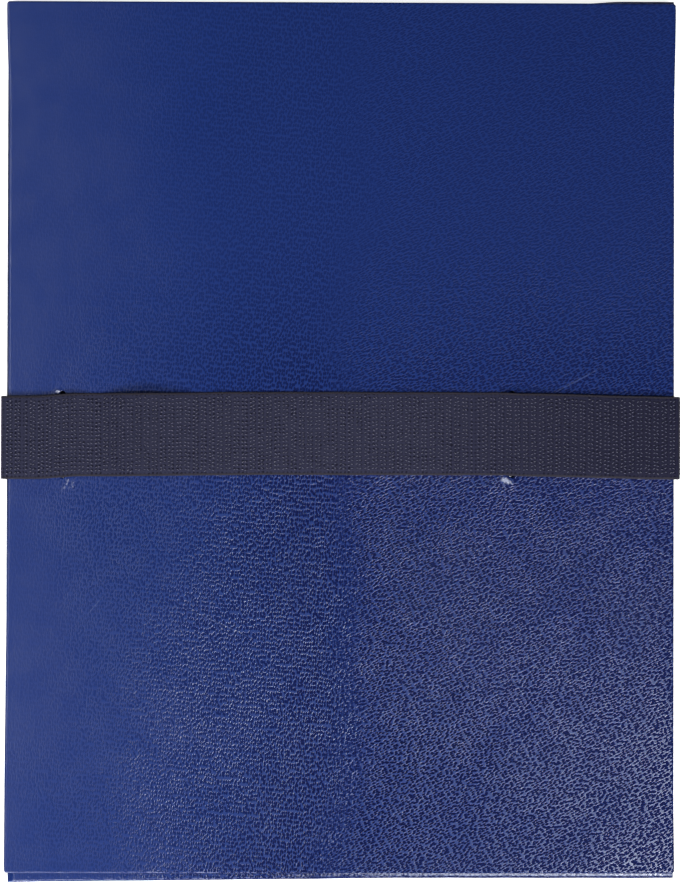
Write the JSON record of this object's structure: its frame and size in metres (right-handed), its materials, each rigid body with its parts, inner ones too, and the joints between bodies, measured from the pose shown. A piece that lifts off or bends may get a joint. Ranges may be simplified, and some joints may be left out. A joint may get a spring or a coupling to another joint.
{
  "type": "expanding document wallet",
  "caption": "Flat document wallet: two grained board covers on a pleated cloth spine that expands, fold-over flaps inside, and a hook-and-loop strap right round it.",
  "frame": {"origin": "centre of the bounding box in plan, on the face that the wallet lies on (the strap's back run)", "axes": "+X from the spine to the fore-edge, +Y up the page along the spine, +Z out of the front cover"},
  "size_m": [0.2486, 0.3234, 0.0168],
  "materials": {
    "grained_covering": "fine grain, semi gloss",
    "greyboard": "matt",
    "lining_paper": "matt",
    "flap_card": "matt",
    "spine_cloth": "woven, matt",
    "strap_webbing": "woven, matt",
    "hook_pile": "rows of small hooks"
  },
  "bodies": {
    "root": {"rear_board": "greyboard", "rear_covering": "grained_covering", "rear_liner": "lining_paper", "rear_hinge_tape": "spine_cloth", "rear_joint_cloth": "spine_cloth", "spine_gusset": "spine_cloth", "strap_back_run": "strap_webbing", "strap_spine_leg": "strap_webbing", "strap_fore_leg": "strap_webbing", "upper_fold_strip": "grained_covering", "lower_fold_strip": "grained_covering"},
    "gusset_top": {"gusset_top_tape": "spine_cloth", "front_joint_cloth": "spine_cloth"},
    "front_cover": {"front_board": "greyboard", "front_covering": "grained_covering", "front_liner": "lining_paper", "strap_under_run": "strap_webbing", "strap_corner": "strap_webbing"},
    "outer_strap": {"strap_outer_webbing": "strap_webbing", "strap_outer_hooks": "hook_pile"},
    "strap_end": {"strap_end_webbing": "strap_webbing", "strap_end_hooks": "hook_pile"},
    "upper_flap": {"upper_flap_card": "flap_card", "upper_flap_covering": "grained_covering"},
    "lower_flap": {"lower_flap_card": "flap_card", "lower_flap_covering": "grained_covering"}
  },
  "joints": [
    {"name": "expand", "type": "slide", "parent": "root", "child": "gusset_top", "axis": [0, 0, 1], "range_m": [0, 0.1], "deforming": ["spine_gusset", "strap_spine_leg", "strap_fore_leg"]},
    {"name": "cover_open", "type": "hinge", "parent": "gusset_top", "child": "front_cover", "pos_m": [-0.124, 0, 0.0108], "axis": [0, -1, 0], "range_deg": [0, 180], "deforming": ["strap_corner", "front_joint_cloth"]},
    {"name": "strap_peel", "type": "hinge", "parent": "front_cover", "child": "outer_strap", "pos_m": [-0.1165, 0.0021, 0.0153], "axis": [0, 1, 0], "range_deg": [-90, 0]},
    {"name": "strap_end_peel", "type": "hinge", "parent": "outer_strap", "child": "strap_end", "pos_m": [0.0495, 0.0021, 0.0145], "axis": [0, 1, 0], "range_deg": [-135, 0]},
    {"name": "upper_flap_turn", "type": "hinge", "parent": "root", "child": "upper_flap", "pos_m": [0, 0.1617, 0.00675], "axis": [-1, 0, 0], "range_deg": [0, 180]},
    {"name": "lower_flap_turn", "type": "hinge", "parent": "root", "child": "lower_flap", "pos_m": [0, -0.1617, 0.00675], "axis": [1, 0, 0], "range_deg": [0, 180]}
  ],
  "couplings": [
    {"joint": "upper_flap_turn", "follows": "cover_open", "ratio": 1},
    {"joint": "lower_flap_turn", "follows": "cover_open", "ratio": 1}
  ]
}
